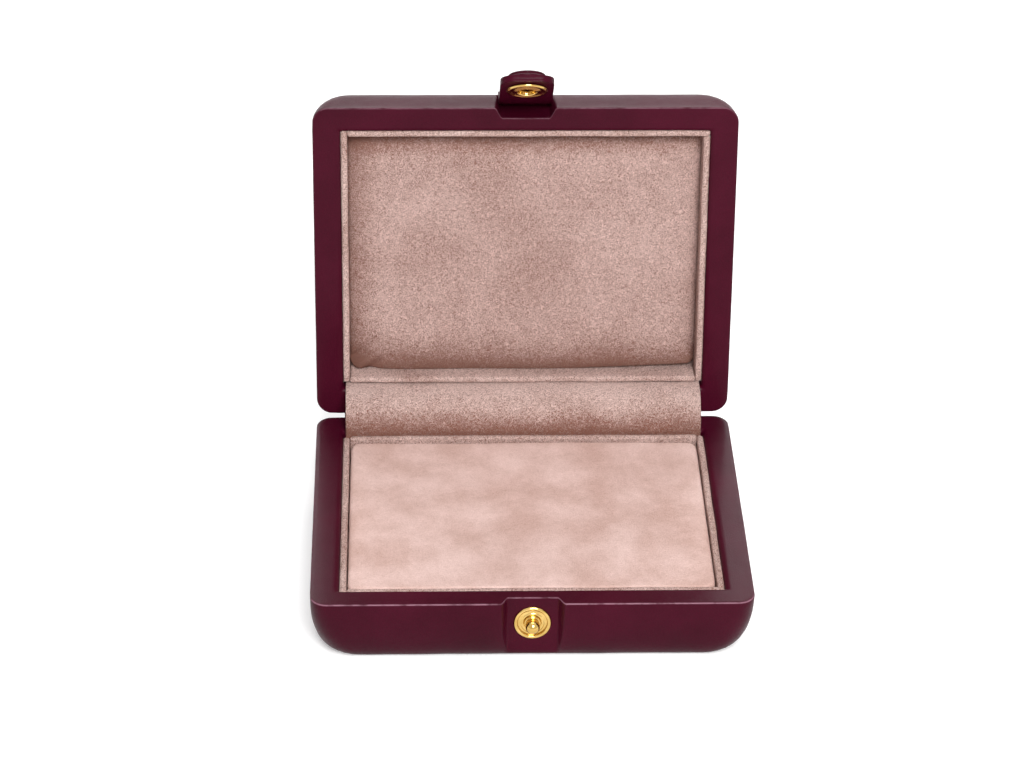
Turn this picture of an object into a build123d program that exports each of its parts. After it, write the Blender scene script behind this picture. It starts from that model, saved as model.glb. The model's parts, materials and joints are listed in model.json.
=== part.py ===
from build123d import *
import math
import os

# Gemstone storage case: two leather-wrapped half shells on a leather hinge, lined with suede.
# Millimetres. X is to the right, Y away from the front, Z up. The origin is at the centre of
# the underside. The lid is modelled open, as it stands when it leans back on its hinge.

# Case
CASE_WIDTH = 130.0
CASE_DEPTH = 103.0
HALF_HEIGHT = 21.5
RIM_GAP = 0.3
LID_OPEN = 95.7

# Outside shape of a half: an upright wall below the rim, then a quarter ellipse to the underside
UPRIGHT_WALL = 2.4
UNDERSIDE_INSET = 6.0
RIM_CORNER = 5.0
UNDERSIDE_CORNER = 10.0
CURVE_STEPS = 6

# Rims and cavity
SIDE_RIM = 8.5
FRONT_RIM = 7.8
REAR_RIM = 8.5
CAVITY_DEPTH = 18.3

# Leather
LEATHER = 1.0
TURN_IN = 8.0
RIM_EDGE = 0.5
RIM_INNER_EDGE = 1.3

# Recess for the tab in both front walls
RECESS_WIDTH = 17.4
RECESS_DEPTH = 3.5
RECESS_FLOOR_FILLET = 0.5
RECESS_MOUTH_FILLET = 1.5

# Hinge
PIVOT_BEHIND_WALL = 0.75
HINGE_STRIP_WIDTH = 112.5
SPINE = 1.2
SPINE_REACH = 13.0
SPINE_CLEARANCE = 0.12
GUSSET = 1.2
GUSSET_REACH = 8.0
GUSSET_CLEARANCE = 0.3

# Liners
LINER_CARD = 1.2
LINER_SUEDE = 0.8
LINER_DROP = 0.7
LINER_TOP_ROUND = 0.75
LINER_CLEARANCE = 0.05

# Base pad and lid cushion
PAD_CLEARANCE = 0.35
PAD_SUEDE = 0.8
PAD_BOARD = 1.5
PAD_CORNER = 3.0
PAD_HEIGHT = 6.0
PAD_TOP_DROP = 0.9
PAD_SHOULDER = 1.6
PAD_CROWN = 0.5
PAD_TUCK = 0.4
CUSHION_TOP_DROP = 5.2
CUSHION_SHOULDER = 4.0
CUSHION_CROWN = 4.5
CUSHION_TUCK = 1.2
CROWN_STEPS = 4
CROWN_FLAT = 6.0

# Snap fastener
SNAP_BELOW_RIM = 8.85
STUD_FLANGE = 5.6
STUD_FLANGE_HEIGHT = 1.1
STUD_ROLL = 0.65
STUD_DISH = 0.5
STUD_STEP = 3.3
STUD_STEP_HEIGHT = 0.3
STUD_NECK = 1.75
STUD_BALL = 2.2
STUD_PROJECTION = 3.2
RIVET_SHANK = 1.2
RIVET_HEAD = 3.0
RIVET_HEAD_HEIGHT = 0.8
RIVET_CLEARANCE = 0.1
SOCKET_RADIUS = 6.2
SOCKET_HEIGHT = 1.5
SOCKET_BORE = 2.65
SOCKET_GROOVE = 3.5
SPRING_WIRE = 0.35
CAP_RADIUS = 6.4
CAP_HEIGHT = 1.5
CAP_LEATHER = 0.6
CAP_TUBE = 3.0
CAP_BORE = 2.5

# Tab
TAB_WIDTH = 16.2
TAB_LEATHER = 1.2
TAB_LINING = 0.8
TAB_TIP = 8.35
TAB_TIP_CORNER = 3.6
TAB_FLEX_IN = 3.8
TAB_RAISED = 44.5
TAB_ROOT_REACH = 12.0
TAB_ROOT_TAIL = 2.5
TAB_KNUCKLE_CLEARANCE = 0.35
SNAP_STACK_CLEARANCE = 0.1

# Places worked out from the sizes above
OVERSHOOT = 5.0
FRONT = -CASE_DEPTH / 2
REAR = CASE_DEPTH / 2
OPENING_X = CASE_WIDTH / 2 - SIDE_RIM
OPENING_FRONT = FRONT + FRONT_RIM
OPENING_REAR = REAR - REAR_RIM
RECESS_FLOOR = FRONT + RECESS_DEPTH
LINER = LINER_CARD + LINER_SUEDE
GUSSET_SLOT = GUSSET + 2 * GUSSET_CLEARANCE
LINED_X = OPENING_X - LINER
LINED_FRONT = OPENING_FRONT + LINER
LINER_REAR = OPENING_REAR - GUSSET_SLOT
LINED_REAR = LINER_REAR - LINER
PAD_WIDTH = 2 * (LINED_X - PAD_CLEARANCE)
PAD_DEPTH = LINED_REAR - LINED_FRONT - 2 * PAD_CLEARANCE
PAD_Y = (LINED_REAR + LINED_FRONT) / 2
PIVOT_Y = REAR + PIVOT_BEHIND_WALL
PIVOT_Z = HALF_HEIGHT + RIM_GAP / 2
LID_RIM_Z = HALF_HEIGHT + RIM_GAP
TAB = TAB_LEATHER + TAB_LINING
SNAP_STACK = STUD_FLANGE_HEIGHT + SOCKET_HEIGHT + SNAP_STACK_CLEARANCE
TAB_PIVOT_Y = RECESS_FLOOR - SNAP_STACK - TAB / 2
TAB_PIVOT_Z = LID_RIM_Z + TAB_FLEX_IN
SNAP_Z = HALF_HEIGHT - SNAP_BELOW_RIM


def block(x0, x1, y0, y1, z0, z1):
    """A box from its two corners."""
    return Pos((x0 + x1) / 2, (y0 + y1) / 2, (z0 + z1) / 2) * Box(x1 - x0, y1 - y0, z1 - z0)


def about_x(y, z, degrees):
    """A turn about the line through (y, z) that runs along X."""
    return Pos(0, y, z) * Rot(degrees, 0, 0) * Pos(0, -y, -z)


def in_base(shape):
    """Stand a half, made with its rim at z = 0, on the ground."""
    return Pos(0, 0, HALF_HEIGHT) * shape


def opened(shape):
    """Turn a piece of the closed lid about the hinge to where the open lid stands."""
    return about_x(PIVOT_Y, PIVOT_Z, -LID_OPEN) * shape


def in_lid(shape):
    """Turn a half, made with its rim at z = 0, over to be the lid, and open it."""
    return opened(Pos(0, 0, LID_RIM_Z) * mirror(shape, about=Plane.XY))


def raised(shape):
    """Flex a piece of the snapped tab out to where it stands on the open lid."""
    return opened(about_x(TAB_PIVOT_Y, TAB_PIVOT_Z, -TAB_RAISED) * shape)


# Half shells

def half_form(inset, top):
    """The outside of a half drawn in by inset all round, from z = top down, rim plane at z = 0."""
    floor_depth = HALF_HEIGHT - inset
    stations = [(0.0, -top), (0.0, UPRIGHT_WALL)]
    for step in range(1, CURVE_STEPS + 1):
        angle = math.pi / 2 * step / CURVE_STEPS
        drawn_in = UNDERSIDE_INSET * (1 - math.cos(angle))
        stations.append((drawn_in, UPRIGHT_WALL + (floor_depth - UPRIGHT_WALL) * math.sin(angle)))
    sections = []
    for drawn_in, depth in stations:
        share = min(1.0, max(0.0, depth / HALF_HEIGHT))
        corner = RIM_CORNER + (UNDERSIDE_CORNER - RIM_CORNER) * share - inset
        width = CASE_WIDTH - 2 * (inset + drawn_in)
        length = CASE_DEPTH - 2 * (inset + drawn_in)
        sections.append(Pos(0, 0, -depth) * RectangleRounded(width, length, corner))
    return loft(sections)


def recess_tool(grown):
    """The cutter for the tab's recess, larger by grown on its floor and sides."""
    half = RECESS_WIDTH / 2 + grown
    floor_y = RECESS_FLOOR + grown
    mouth_y = FRONT + grown - 0.01
    outline = Polyline(
        (-half - OVERSHOOT, FRONT - OVERSHOOT),
        (-half - OVERSHOOT, mouth_y),
        (-half, mouth_y),
        (-half, floor_y),
        (half, floor_y),
        (half, mouth_y),
        (half + OVERSHOOT, mouth_y),
        (half + OVERSHOOT, FRONT - OVERSHOOT),
        close=True,
    )
    plan = make_face(outline)
    floor_corners = [v for v in plan.vertices() if abs(v.Y - floor_y) < 0.001]
    plan = fillet(floor_corners, RECESS_FLOOR_FILLET)
    mouth_corners = [v for v in plan.vertices() if abs(v.Y - mouth_y) < 0.001 and abs(v.X) < half + 1]
    plan = fillet(mouth_corners, RECESS_MOUTH_FILLET)
    return extrude(Pos(0, 0, -HALF_HEIGHT - OVERSHOOT) * plan, HALF_HEIGHT + 2 * OVERSHOOT)


def cavity(grown, top, bottom):
    """The inside of a half between two heights, larger by grown all round."""
    side = OPENING_X + grown
    return block(-side, side, OPENING_FRONT - grown, OPENING_REAR + grown, bottom, top)


def rim_edges(shape, inner):
    """Edges of the rim plane, round the opening or round the outside."""
    edges = []
    for edge in shape.edges().filter_by_position(Axis.Z, -0.01, 0.01):
        middle = edge @ 0.5
        in_x = abs(middle.X) < OPENING_X + 0.01
        in_y = OPENING_FRONT - 0.01 < middle.Y < OPENING_REAR + 0.01
        if (in_x and in_y) == inner:
            edges.append(edge)
    return edges


def half_core():
    """The stiff core that the leather is pulled over."""
    return half_form(LEATHER, -LEATHER) - recess_tool(LEATHER) - cavity(LEATHER, OVERSHOOT, -CAVITY_DEPTH)


def half_cover():
    """The leather cover: outside, rim and the turn-in down the cavity's walls."""
    body = half_form(0.0, 0.0) - recess_tool(0.0) - cavity(0.0, OVERSHOOT, -CAVITY_DEPTH)
    body = fillet(rim_edges(body, inner=True), RIM_INNER_EDGE)
    body = fillet(rim_edges(body, inner=False), RIM_EDGE)
    return body - half_core() - cavity(LEATHER, -TURN_IN, -CAVITY_DEPTH)


def rivet_bore(radius):
    """Hole for the stud's rivet, with room for its head, in the base."""
    wall_inside = OPENING_FRONT - LEATHER
    middle = Pos(0, 0, -SNAP_BELOW_RIM) * Rot(90, 0, 0)
    shank = Pos(0, RECESS_FLOOR, 0) * middle * Cylinder(radius, 2 * OVERSHOOT)
    head = Pos(0, wall_inside, 0) * middle * Cylinder(
        RIVET_HEAD + RIVET_CLEARANCE, 2 * (RIVET_HEAD_HEIGHT + RIVET_CLEARANCE)
    )
    return shank, head


# Hinge

def spine_leather():
    """The leather strip over both rear walls, folded at the hinge."""
    half = HINGE_STRIP_WIDTH / 2
    skin = half_form(-SPINE - SPINE_CLEARANCE, 0.0) - half_form(-SPINE_CLEARANCE, OVERSHOOT)
    strip = skin & block(-half, half, OPENING_REAR, REAR + OVERSHOOT, -SPINE_REACH, 0.0)
    inner = REAR + SPINE_CLEARANCE
    outer = inner + SPINE
    turn = about_x(PIVOT_Y, PIVOT_Z, -LID_OPEN)
    lid_corner = turn * Pos(0, inner, LID_RIM_Z)
    lid_back = turn * Pos(0, inner, LID_RIM_Z + SPINE)
    fold = Polyline(
        (inner, HALF_HEIGHT - SPINE),
        (inner, HALF_HEIGHT),
        (lid_corner.position.Y, lid_corner.position.Z),
        (lid_back.position.Y, lid_back.position.Z),
        (outer, HALF_HEIGHT - SPINE),
        close=True,
    )
    knuckle = extrude(Plane.YZ * make_face(fold), half, both=True)
    return in_base(strip) + knuckle + in_lid(strip)


def gusset_suede():
    """The suede strip that leaves the base behind its rear liner and rolls into the lid."""
    half = HINGE_STRIP_WIDTH / 2
    slot_middle = OPENING_REAR - GUSSET_SLOT / 2
    near = slot_middle - GUSSET / 2
    far = slot_middle + GUSSET / 2
    base_leaf = block(-half, half, near, far, HALF_HEIGHT - GUSSET_REACH, PIVOT_Z)
    lid_leaf = opened(block(-half, half, near, far, PIVOT_Z, LID_RIM_Z + GUSSET_REACH))
    section = Pos(0, slot_middle, PIVOT_Z) * Rectangle(2 * half, GUSSET)
    roll = revolve(section, Axis((0, PIVOT_Y, PIVOT_Z), (-1, 0, 0)), LID_OPEN)
    return base_leaf + roll + lid_leaf


# Liners: each strip is a card with suede over its face and top. They meet pinwheel fashion.

def liner_strips():
    """Name, long axis, low corner, high corner and the face side of each strip."""
    gap = LINER_CLEARANCE
    return {
        "left": ("Y", -OPENING_X, -LINED_X, OPENING_FRONT, LINER_REAR, "high"),
        "front": ("X", -LINED_X + gap, OPENING_X, OPENING_FRONT, LINED_FRONT, "high"),
        "right": ("Y", LINED_X, OPENING_X, LINED_FRONT + gap, LINER_REAR, "low"),
        "rear": ("X", -LINED_X + gap, LINED_X - gap, LINED_REAR, LINER_REAR, "low"),
    }


def liner(strip):
    """The card and the suede of one strip."""
    along, x0, x1, y0, y1, face = strip
    whole = block(x0, x1, y0, y1, -CAVITY_DEPTH, -LINER_DROP)
    long_axis = Axis.X if along == "X" else Axis.Y
    top = whole.edges().filter_by(long_axis).group_by(Axis.Z)[-1]
    whole = fillet(top, LINER_TOP_ROUND)
    card_top = -LINER_DROP - LINER_SUEDE
    if along == "X" and face == "high":
        card = block(x0, x1, y0, y1 - LINER_SUEDE, -CAVITY_DEPTH, card_top)
    elif along == "X":
        card = block(x0, x1, y0 + LINER_SUEDE, y1, -CAVITY_DEPTH, card_top)
    elif face == "high":
        card = block(x0, x1 - LINER_SUEDE, y0, y1, -CAVITY_DEPTH, card_top)
    else:
        card = block(x0 + LINER_SUEDE, x1, y0, y1, -CAVITY_DEPTH, card_top)
    return card, whole - card


# Pad and cushion

def pillow(inset, bottom, top, shoulder, crown, tuck):
    """A crowned pad: sides that pull in to the bottom, a round shoulder and a crowned top."""
    stations = [(tuck, bottom)]
    shoulder_z = top - crown - shoulder
    stations.append((0.25 * tuck, bottom + 0.5 * (shoulder_z - bottom)))
    for step in range(0, 3):
        angle = math.pi / 2 * step / 3
        stations.append((shoulder * (1 - math.cos(angle)), shoulder_z + shoulder * math.sin(angle)))
    reach = PAD_DEPTH / 2 - CROWN_FLAT - shoulder
    for step in range(1, CROWN_STEPS + 1):
        share = step / CROWN_STEPS
        rise = crown * (1 - (1 - share) ** 2)
        stations.append((shoulder + reach * share, top - crown + rise))
    sections = []
    for drawn_in, height in stations:
        width = PAD_WIDTH - 2 * (inset + drawn_in)
        length = PAD_DEPTH - 2 * (inset + drawn_in)
        corner = min(PAD_CORNER + 0.5 * drawn_in, 0.45 * length)
        sections.append(Pos(0, PAD_Y, height) * RectangleRounded(width, length, corner))
    return loft(sections, ruled=True)


def padded(bottom, top, shoulder, crown, tuck):
    """The board, foam and suede of a pad between two heights below the rim."""
    outside = pillow(0.0, bottom, top, shoulder, crown, tuck)
    inside = pillow(PAD_SUEDE, bottom, top - PAD_SUEDE, shoulder, crown, tuck)
    board_top = bottom + PAD_BOARD
    slab = block(-CASE_WIDTH, CASE_WIDTH, -CASE_DEPTH, CASE_DEPTH, bottom - OVERSHOOT, board_top)
    return inside & slab, inside - slab, outside - inside


def foam_block():
    """The foam that lifts the base pad to the rim."""
    half_x = PAD_WIDTH / 2 - PAD_TUCK
    half_y = PAD_DEPTH / 2 - PAD_TUCK
    pad_bottom = -PAD_TOP_DROP - PAD_HEIGHT
    return block(-half_x, half_x, PAD_Y - half_y, PAD_Y + half_y, -CAVITY_DEPTH, pad_bottom)


# Snap fastener: each piece is made about the Z axis, standing on z = 0, then put in its place

def on_recess_floor(shape):
    """Put a piece turned about Z on the base's recess floor, pointing out of the front."""
    return Pos(0, RECESS_FLOOR, SNAP_Z) * Rot(90, 0, 0) * shape


def upright(radius, low, high):
    """Half the outline of a disc or a neck about the Z axis."""
    return Pos(radius / 2, (low + high) / 2) * Rectangle(radius, high - low)


def snap_stud():
    """Dished flange with a rolled rim and a step, and the ball on its neck."""
    roll_middle = STUD_FLANGE - STUD_ROLL
    ball_height = STUD_DISH + STUD_PROJECTION - STUD_BALL
    outline = upright(roll_middle, 0, STUD_DISH)
    outline += Pos(roll_middle, STUD_FLANGE_HEIGHT - STUD_ROLL) * Circle(STUD_ROLL)
    outline += upright(STUD_STEP, 0, STUD_DISH + STUD_STEP_HEIGHT)
    outline += upright(STUD_NECK, 0, ball_height)
    outline += Pos(0, ball_height) * Circle(STUD_BALL)
    outline &= upright(2 * STUD_FLANGE, 0, 2 * STUD_PROJECTION)
    return on_recess_floor(revolve(Plane.XZ * outline, Axis.Z, 360))


def snap_stud_rivet():
    """The rivet that holds the stud, its head sunk in the back of the core."""
    wall = OPENING_FRONT - LEATHER - RECESS_FLOOR
    low = (Align.CENTER, Align.CENTER, Align.MAX)
    shank = Cylinder(RIVET_SHANK, wall, align=low)
    head = Pos(0, 0, RIVET_HEAD_HEIGHT - wall) * Cylinder(RIVET_HEAD, RIVET_HEAD_HEIGHT, align=low)
    return on_recess_floor(shank + head)


def on_tab(shape, height):
    """Put a piece turned about Z on the tab at the snap, height out from its mid thickness."""
    return raised(Pos(0, TAB_PIVOT_Y - height, SNAP_Z) * Rot(90, 0, 0) * shape)


def snap_socket():
    """The ring that takes the ball, with a groove inside for its spring and a rounded edge."""
    ring = Cylinder(SOCKET_RADIUS, SOCKET_HEIGHT, align=(Align.CENTER, Align.CENTER, Align.MAX))
    ring = fillet(ring.edges().group_by(Axis.Z)[0], 0.45 * SOCKET_HEIGHT)
    ring -= Cylinder(SOCKET_BORE, 4 * SOCKET_HEIGHT)
    ring -= Pos(0, 0, -SOCKET_HEIGHT / 2) * Cylinder(SOCKET_GROOVE, 2.6 * SPRING_WIRE)
    return on_tab(ring, -TAB / 2)


def snap_socket_spring():
    """The round wire spring in the socket's groove."""
    wire = Pos(0, 0, -SOCKET_HEIGHT / 2) * Torus(SOCKET_GROOVE - SPRING_WIRE - 0.05, SPRING_WIRE)
    return on_tab(wire, -TAB / 2)


def dome(radius, height):
    """A low dome on the plane z = 0."""
    ball = (radius ** 2 + height ** 2) / (2 * height)
    cap = Pos(0, 0, height - ball) * Sphere(ball)
    return cap & Cylinder(2 * radius, 2 * height, align=(Align.CENTER, Align.CENTER, Align.MIN))


def snap_cap():
    """The brass cap on the tab's outside, with the tube that passes through the tab."""
    tube = Cylinder(CAP_TUBE, TAB, align=(Align.CENTER, Align.CENTER, Align.MAX))
    tube -= Cylinder(CAP_BORE, 4 * TAB)
    return on_tab(dome(CAP_RADIUS - CAP_LEATHER, CAP_HEIGHT - CAP_LEATHER) + tube, TAB / 2)


def snap_cap_leather():
    """The leather drawn over the cap."""
    return on_tab(dome(CAP_RADIUS, CAP_HEIGHT) - dome(CAP_RADIUS - CAP_LEATHER, CAP_HEIGHT - CAP_LEATHER), TAB / 2)


# Tab: made snapped, hanging straight down from its flex line, then raised

def tab_layer(inner, outer):
    """One layer of the tab between two heights out from its mid thickness."""
    half = TAB_WIDTH / 2
    tip_z = SNAP_Z - TAB_TIP
    plan = make_face(Polyline((-half, TAB_PIVOT_Z), (half, TAB_PIVOT_Z), (half, tip_z), (-half, tip_z), close=True))
    plan = fillet(plan.vertices().group_by(Axis.Y)[0], TAB_TIP_CORNER)
    strip = Plane.XZ * plan
    layer = Pos(0, TAB_PIVOT_Y - inner, 0) * extrude(strip, outer - inner)
    knuckle = Pos(0, TAB_PIVOT_Y, TAB_PIVOT_Z) * Rot(0, 90, 0) * Cylinder(TAB / 2, TAB_WIDTH)
    slab = block(-half, half, TAB_PIVOT_Y - outer, TAB_PIVOT_Y - inner, TAB_PIVOT_Z, TAB_PIVOT_Z + TAB)
    layer += knuckle & slab
    hole = Pos(0, TAB_PIVOT_Y, SNAP_Z) * Rot(90, 0, 0) * Cylinder(CAP_TUBE, 2 * TAB)
    return raised(layer - hole)


def tab_root():
    """The tab's root: glued flat on the lid's recess floor, then rising to the flex line."""
    rise = SNAP_STACK
    bend = 2 * math.atan2(rise, TAB_ROOT_REACH)
    radius = TAB_ROOT_REACH / math.sin(bend)
    start_y = RECESS_FLOOR - TAB / 2
    start_z = TAB_PIVOT_Z + TAB_ROOT_REACH
    arc_y = start_y - radius
    glued = block(-1, 1, start_y - TAB / 2, start_y + TAB / 2, start_z, start_z + TAB_ROOT_TAIL)
    ring = Rot(0, 90, 0) * (Cylinder(radius + TAB / 2, 2) - Cylinder(radius - TAB / 2, 4))
    wedge_y = arc_y + 2 * radius * math.cos(bend)
    wedge_z = start_z - 2 * radius * math.sin(bend)
    wedge = Polyline((arc_y, start_z), (arc_y + 2 * radius, start_z), (wedge_y, wedge_z), close=True)
    sector = extrude(Plane.YZ * make_face(wedge), 1, both=True)
    curve = (Pos(0, arc_y, start_z) * ring) & sector
    clear = Pos(0, TAB_PIVOT_Y, TAB_PIVOT_Z) * Rot(0, 90, 0) * Cylinder(TAB / 2 + TAB_KNUCKLE_CLEARANCE, 4)
    slice_of_root = glued + curve - clear
    section = slice_of_root.faces().sort_by(Axis.X)[0]
    return opened(Pos(1 - TAB_WIDTH / 2, 0, 0) * extrude(section, TAB_WIDTH, dir=(1, 0, 0)))


def build():
    """Every piece of the case, by name."""
    shank, head = rivet_bore(RIVET_SHANK + RIVET_CLEARANCE)
    pieces = {
        "base_core": in_base(half_core() - shank - head),
        "base_leather_cover": in_base(half_cover() - shank),
        "lid_core": in_lid(half_core()),
        "lid_leather_cover": in_lid(half_cover()),
        "spine_leather": spine_leather(),
        "gusset_suede": gusset_suede(),
        "base_foam_block": in_base(foam_block()),
        "snap_stud": snap_stud(),
        "snap_stud_rivet": snap_stud_rivet(),
        "tab_root": tab_root(),
        "tab_outer_leather": tab_layer(TAB_LINING - TAB / 2, TAB / 2),
        "tab_lining": tab_layer(-TAB / 2, TAB_LINING - TAB / 2),
        "snap_socket": snap_socket(),
        "snap_socket_spring": snap_socket_spring(),
        "snap_cap": snap_cap(),
        "snap_cap_leather": snap_cap_leather(),
    }
    for side, strip in liner_strips().items():
        card, suede = liner(strip)
        pieces[f"base_liner_{side}_card"] = in_base(card)
        pieces[f"base_liner_{side}_suede"] = in_base(suede)
        pieces[f"lid_liner_{side}_card"] = in_lid(card)
        pieces[f"lid_liner_{side}_suede"] = in_lid(suede)
    pad_top = -PAD_TOP_DROP
    board, foam, suede = padded(pad_top - PAD_HEIGHT, pad_top, PAD_SHOULDER, PAD_CROWN, PAD_TUCK)
    pieces["base_pad_board"] = in_base(board)
    pieces["base_pad_foam"] = in_base(foam)
    pieces["base_pad_suede"] = in_base(suede)
    board, foam, suede = padded(
        -CAVITY_DEPTH, -CUSHION_TOP_DROP, CUSHION_SHOULDER, CUSHION_CROWN, CUSHION_TUCK
    )
    pieces["lid_cushion_board"] = in_lid(board)
    pieces["lid_cushion_foam"] = in_lid(foam)
    pieces["lid_cushion_suede"] = in_lid(suede)
    return pieces


os.makedirs("parts", exist_ok=True)
for name, shape in build().items():
    export_step(shape, f"parts/{name}.step")
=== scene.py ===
"""Looks of the gemstone storage case: burgundy leather, rose suede and a brass snap."""

import json
import math

import bmesh
import bpy
import numpy as np
from mathutils import Matrix, Vector, noise


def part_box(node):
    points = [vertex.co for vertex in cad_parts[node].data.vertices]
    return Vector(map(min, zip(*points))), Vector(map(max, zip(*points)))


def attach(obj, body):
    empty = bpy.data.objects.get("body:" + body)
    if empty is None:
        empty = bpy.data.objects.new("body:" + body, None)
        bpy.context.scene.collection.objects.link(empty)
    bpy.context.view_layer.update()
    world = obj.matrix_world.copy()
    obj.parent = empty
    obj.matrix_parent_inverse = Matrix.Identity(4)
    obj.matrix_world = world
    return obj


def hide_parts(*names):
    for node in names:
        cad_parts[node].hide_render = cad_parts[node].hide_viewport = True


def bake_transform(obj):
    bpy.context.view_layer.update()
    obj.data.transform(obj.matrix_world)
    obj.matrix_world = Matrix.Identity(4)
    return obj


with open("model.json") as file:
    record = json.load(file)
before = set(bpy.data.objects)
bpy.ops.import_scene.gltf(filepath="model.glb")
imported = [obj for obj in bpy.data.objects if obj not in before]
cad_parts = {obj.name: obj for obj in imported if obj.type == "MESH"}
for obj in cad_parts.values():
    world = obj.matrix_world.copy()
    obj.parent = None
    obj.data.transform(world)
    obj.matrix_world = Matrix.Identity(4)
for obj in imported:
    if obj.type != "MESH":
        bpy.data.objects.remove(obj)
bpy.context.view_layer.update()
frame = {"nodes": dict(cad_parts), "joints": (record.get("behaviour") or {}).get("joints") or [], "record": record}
joints = {joint["name"]: joint for joint in frame["joints"]}
scene = bpy.context.scene

# Everything below is worked in millimetres, and a mesh is scaled to metres when it is made
MM = 0.001


def node_box(node):
    """A CAD node's lowest and highest corner in millimetres."""
    low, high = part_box(node)
    return np.array(low) / MM, np.array(high) / MM


# Sizes from the frame
cover_low, cover_high = node_box("base_leather_cover")
HALF_HEIGHT = cover_high[2]
HALF_WIDTH = round(cover_high[0], 1)
FRONT = round(cover_low[1], 1)
REAR = round(cover_high[1], 1)
HINGE_Y, HINGE_Z = (joints["lid_hinge"]["pos_m"][axis] / MM for axis in (1, 2))
LID_OPEN = math.radians(joints["lid_hinge"]["range_deg"][1])
RIM_GAP = 2 * (HINGE_Z - HALF_HEIGHT)
FLEX_Y, FLEX_Z = (joints["tab_flex"]["pos_m"][axis] / MM for axis in (1, 2))
TAB_RAISED = math.radians(joints["tab_flex"]["range_deg"][1])
OPENING_X = node_box("base_liner_right_suede")[1][0]
OPENING_FRONT = node_box("base_liner_front_suede")[0][1]
GUSSET_X = node_box("gusset_suede")[1][0]
GUSSET_NEAR = node_box("gusset_suede")[0][1]
FLOOR_DEPTH = HALF_HEIGHT - node_box("base_foam_block")[0][2]

# Sizes of the leatherwork. The wall stands upright for UPRIGHT_WALL below the rim, then curves in.
# The recess is flat to RECESS_FLAT on each side of its middle and ends at RECESS_MOUTH.
# The spine reaches from SPINE_TOP to SPINE_REACH below each rim, and bends round SPINE_KNEE, (y, z)
# from the hinge line.
UPRIGHT_WALL = 2.4
UNDERSIDE_INSET = 6.0
RIM_CORNER = 5.0
UNDERSIDE_CORNER = 10.0
LEATHER = 0.9
TURN_IN = 8.0
RIM_EDGE = 0.45
RIM_INNER_EDGE = 1.5
RECESS_FLAT = 7.1
RECESS_MOUTH = 9.7
RECESS_DEPTH = 3.5
RECESS_SOFT = 0.5
OPENING_CORNER = 0.8
CORNER_STEPS = 8
GUSSET = 1.2
GUSSET_CLEARANCE = 0.3
OPENING_REAR = GUSSET_NEAR + GUSSET + GUSSET_CLEARANCE
SPINE = 1.2
SPINE_REACH = 12.6
SPINE_TOP = 0.8
SPINE_CLEARANCE = 0.12
SPINE_KNEE = (0.15, -0.1)


# Placing

def in_base(points):
    """From a half with its rim at z = 0 to the base."""
    return np.asarray(points, float) + (0, 0, HALF_HEIGHT)


def turned(points, y, z, angle):
    """Points turned about the line through (y, z) that runs along X."""
    points = np.asarray(points, float)
    dy, dz = points[:, 1] - y, points[:, 2] - z
    c, s = math.cos(angle), math.sin(angle)
    return np.stack([points[:, 0], y + dy * c - dz * s, z + dy * s + dz * c], 1)


def opened(points):
    """From the closed lid to the open one."""
    return turned(points, HINGE_Y, HINGE_Z, -LID_OPEN)


def in_lid(points):
    """From a half with its rim at z = 0 to the open lid."""
    points = np.asarray(points, float) * (1, 1, -1)
    return opened(points + (0, 0, HALF_HEIGHT + RIM_GAP))


HALVES = {"base": in_base, "lid": in_lid}


# Mesh helpers

def rough(points, size, amount, seed):
    """A smooth random value per point, for hand-made unevenness. size is the feature in mm."""
    offset = Vector((seed * 17.3, seed * 5.1, seed * 9.7))
    return np.array([amount * noise.noise(Vector(p) / size + offset) for p in points])


def make_piece(name, points, faces, material, body, edge_highlight=None):
    """A smooth closed mesh in metres, with its faces outwards, riding on a body."""
    mesh = bpy.data.meshes.new(name)
    mesh.from_pydata([tuple(p) for p in np.asarray(points) * MM], [], faces)
    # A point attribute that says where the leather gets its painted highlight.
    if edge_highlight is not None:
        mesh.attributes.new("edge_highlight", "FLOAT", "POINT").data.foreach_set("value", edge_highlight)
    work = bmesh.new()
    work.from_mesh(mesh)
    bmesh.ops.remove_doubles(work, verts=work.verts, dist=0.00001)
    bmesh.ops.recalc_face_normals(work, faces=work.faces)
    for face in work.faces:
        face.smooth = True
    work.to_mesh(mesh)
    work.free()
    mesh.materials.append(material)
    piece = bpy.data.objects.new(name, mesh)
    scene.collection.objects.link(piece)
    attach(piece, body)
    return piece


def skin_rings(rings):
    """Points and faces of a skin over rings of as many points each, closed at both ends."""
    count = len(rings[0])
    points = np.concatenate(rings)
    faces = []
    for row in range(len(rings) - 1):
        a, b = row * count, (row + 1) * count
        for k in range(count):
            n = (k + 1) % count
            faces.append((a + k, a + n, b + n, b + k))
    last = (len(rings) - 1) * count
    faces.append(tuple(range(count)))
    faces.append(tuple(range(last, last + count)))
    return points, faces


def spaced(low, high, fine, step, fine_step):
    """Places from low to high, close together near both ends."""
    ends = np.arange(0, fine + 1e-6, fine_step)
    count = max(2, int(round((high - low - 2 * fine) / step)) + 1)
    middle = np.linspace(low + fine, high - fine, count)
    return np.unique(np.round(np.concatenate([low + ends, middle, high - ends]), 5))


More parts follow.
